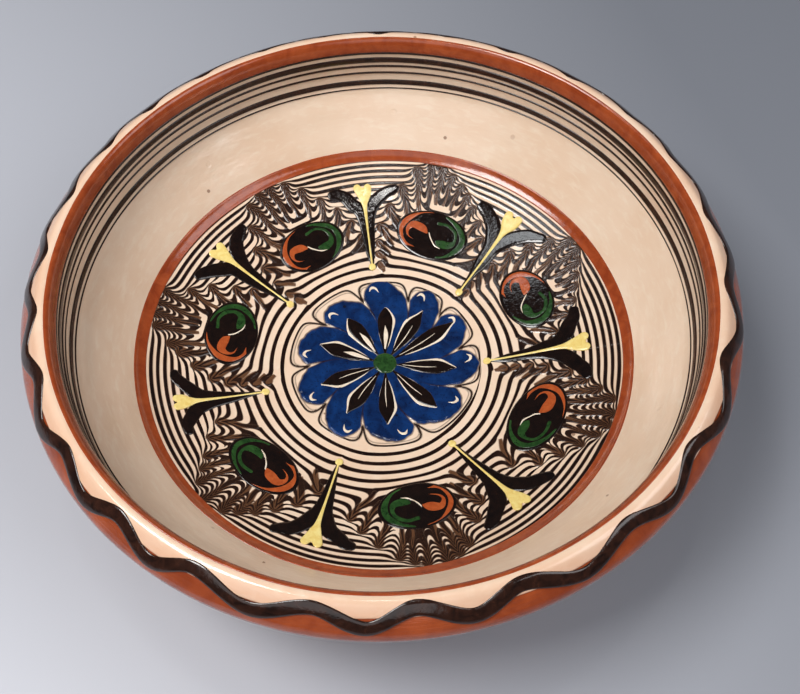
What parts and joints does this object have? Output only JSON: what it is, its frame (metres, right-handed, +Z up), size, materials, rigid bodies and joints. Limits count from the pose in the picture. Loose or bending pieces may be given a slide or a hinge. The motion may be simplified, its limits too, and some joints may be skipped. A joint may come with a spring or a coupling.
{
  "type": "slip-painted ceramic dish",
  "caption": "Deep round red-clay dish with rolled rim, white slip coat, combed peacock eyes, tulips and a blue flower under clear glaze.",
  "frame": {"origin": "centre of the face that the foot ring stands on", "axes": "+Z up along the axis the dish was thrown on; +X towards a tulip, so the decoration has a fixed azimuth"},
  "size_m": [0.25, 0.25, 0.0783],
  "materials": {
    "red_clay": "clear glossy glaze over coloured slip",
    "cream_slip": "clear glossy glaze over coloured slip",
    "red_slip": "clear glossy glaze over coloured slip",
    "brown_slip": "clear glossy glaze over coloured slip",
    "black_slip": "clear glossy glaze over coloured slip",
    "orange_slip": "clear glossy glaze over coloured slip",
    "green_slip": "clear glossy glaze over coloured slip",
    "yellow_slip": "clear glossy glaze over coloured slip",
    "blue_slip": "clear glossy glaze over coloured slip",
    "mottled_slip": "clear glossy glaze over coloured slip"
  },
  "bodies": {
    "root": {"clay_body": "red_clay", "cream_slip": "cream_slip", "well_band": "red_slip", "rim_band": "red_slip", "rim_edge_line": "brown_slip", "rim_wave_line": "brown_slip", "wall_line_1": "brown_slip", "wall_line_2": "brown_slip", "wall_line_3": "brown_slip", "wall_line_4": "brown_slip", "wall_line_5": "brown_slip", "ring_lines_inner": "brown_slip", "ring_lines_middle": "brown_slip", "ring_lines_outer": "brown_slip", "blue_flower": "blue_slip", "flower_petals": "black_slip", "petal_fringes": "cream_slip", "flower_centre": "green_slip", "eye_ground_1": "black_slip", "eye_ground_2": "black_slip", "eye_ground_3": "black_slip", "eye_ground_4": "black_slip", "eye_ground_5": "black_slip", "eye_ground_6": "black_slip", "eye_ground_7": "black_slip", "eye_orange_1": "orange_slip", "eye_orange_2": "orange_slip", "eye_orange_3": "orange_slip", "eye_orange_4": "orange_slip", "eye_orange_5": "orange_slip", "eye_orange_6": "orange_slip", "eye_orange_7": "orange_slip", "eye_green_1": "green_slip", "eye_green_2": "green_slip", "eye_green_3": "green_slip", "eye_green_4": "green_slip", "eye_green_5": "green_slip", "eye_green_6": "green_slip", "eye_green_7": "green_slip", "comb_strokes_1": "mottled_slip", "comb_strokes_2": "mottled_slip", "comb_strokes_3": "mottled_slip", "comb_strokes_4": "mottled_slip", "comb_strokes_5": "mottled_slip", "comb_strokes_6": "mottled_slip", "comb_strokes_7": "mottled_slip", "tulip_leaves_1": "black_slip", "tulip_leaves_2": "black_slip", "tulip_leaves_3": "black_slip", "tulip_leaves_4": "black_slip", "tulip_leaves_5": "black_slip", "tulip_leaves_6": "black_slip", "tulip_leaves_7": "black_slip", "tulip_yellow_1": "yellow_slip", "tulip_yellow_2": "yellow_slip", "tulip_yellow_3": "yellow_slip", "tulip_yellow_4": "yellow_slip", "tulip_yellow_5": "yellow_slip", "tulip_yellow_6": "yellow_slip", "tulip_yellow_7": "yellow_slip"}
  },
  "joints": []
}
